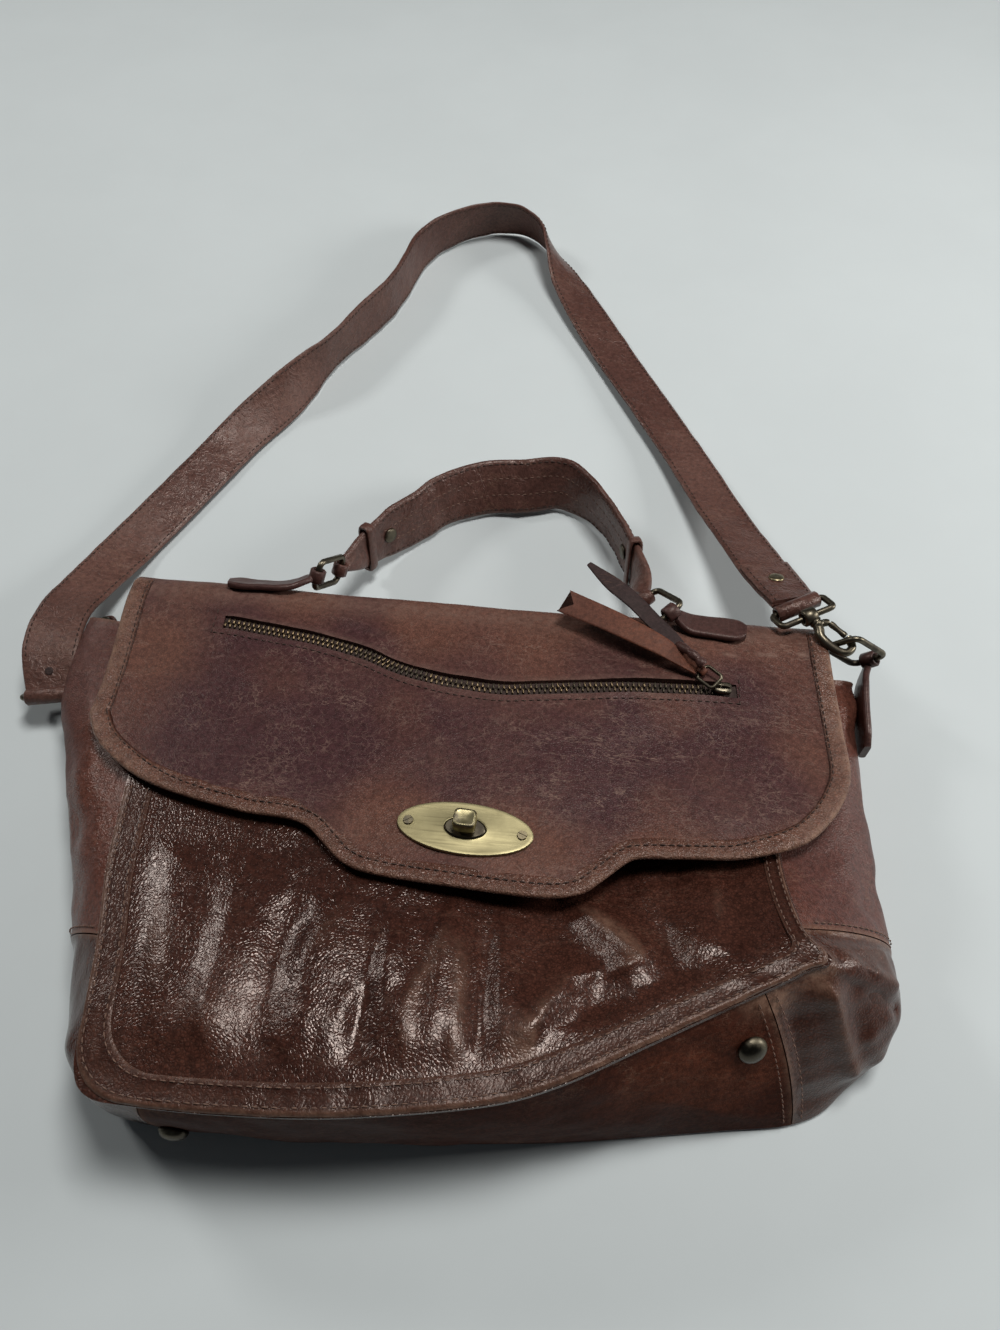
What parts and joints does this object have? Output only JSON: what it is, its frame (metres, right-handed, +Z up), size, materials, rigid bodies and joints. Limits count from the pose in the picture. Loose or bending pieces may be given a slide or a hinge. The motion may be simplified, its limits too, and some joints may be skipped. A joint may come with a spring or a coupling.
{
  "type": "leather satchel",
  "caption": "Soft leather satchel lying on its back, with a flap, turn lock, zip pocket, top handle and hooked shoulder strap.",
  "frame": {"origin": "on the table under the middle of the back panel", "axes": "+X across the bag to the right, +Y from the bottom to the handle, +Z up from the back panel to the flap"},
  "size_m": [0.4629, 0.6572, 0.0794],
  "materials": {
    "flap_leather": "matte, scuffed",
    "body_leather": "glossy, grained",
    "gusset_leather": "matte, worn",
    "edge_leather": "worn edge strip",
    "strap_leather": "satin",
    "tan_leather": "matte",
    "dark_leather": "matte",
    "zip_cloth": "woven",
    "lock_brass": "brushed",
    "dark_brass": "antique, dark",
    "tooth_brass": "antique"
  },
  "bodies": {
    "bag": {"flap": "flap_leather", "front_panel": "body_leather", "front_border": "body_leather", "end_cap_left": "body_leather", "end_cap_right": "body_leather", "bottom_panel": "body_leather", "back_panel": "gusset_leather", "gusset_left": "gusset_leather", "gusset_right": "gusset_leather", "flap_binding": "edge_leather", "handle": "strap_leather", "handle_keeper_left": "strap_leather", "handle_keeper_right": "strap_leather", "handle_tab_left": "strap_leather", "handle_tab_right": "strap_leather", "shoulder_strap": "strap_leather", "side_tab_left": "strap_leather", "side_tab_right": "strap_leather", "tassel_front": "tan_leather", "tassel_back": "dark_leather", "zip_tape": "zip_cloth", "lock_plate": "lock_brass", "lock_screw_left": "lock_brass", "lock_screw_right": "lock_brass", "lock_base": "dark_brass", "handle_ring_left": "dark_brass", "handle_ring_right": "dark_brass", "handle_rivet_left": "dark_brass", "handle_rivet_right": "dark_brass", "strap_ring_left": "dark_brass", "strap_ring_right": "dark_brass", "strap_rivet": "dark_brass", "strap_hook_left": "dark_brass", "strap_hook_right": "dark_brass", "side_ring_left": "dark_brass", "side_ring_right": "dark_brass", "zip_slider": "dark_brass", "zip_pull": "dark_brass", "foot_left": "dark_brass", "foot_right": "dark_brass", "zip_teeth": "tooth_brass"},
    "knob": {"lock_knob": "lock_brass"},
    "gate": {"hook_gate": "dark_brass"}
  },
  "joints": [
    {"name": "lock_turn", "type": "hinge", "parent": "bag", "child": "knob", "pos_m": [0.0073, -0.0107, 0.06369], "axis": [0, 0.1054, 0.9944], "range_deg": [0, 90]},
    {"name": "hook_gate_swing", "type": "hinge", "parent": "bag", "child": "gate", "pos_m": [0.18402, 0.12543, 0.05291], "axis": [-0.0702, 0.0702, -0.9951], "range_deg": [0, 16], "stiffness_Nm_per_rad": 0.02}
  ]
}
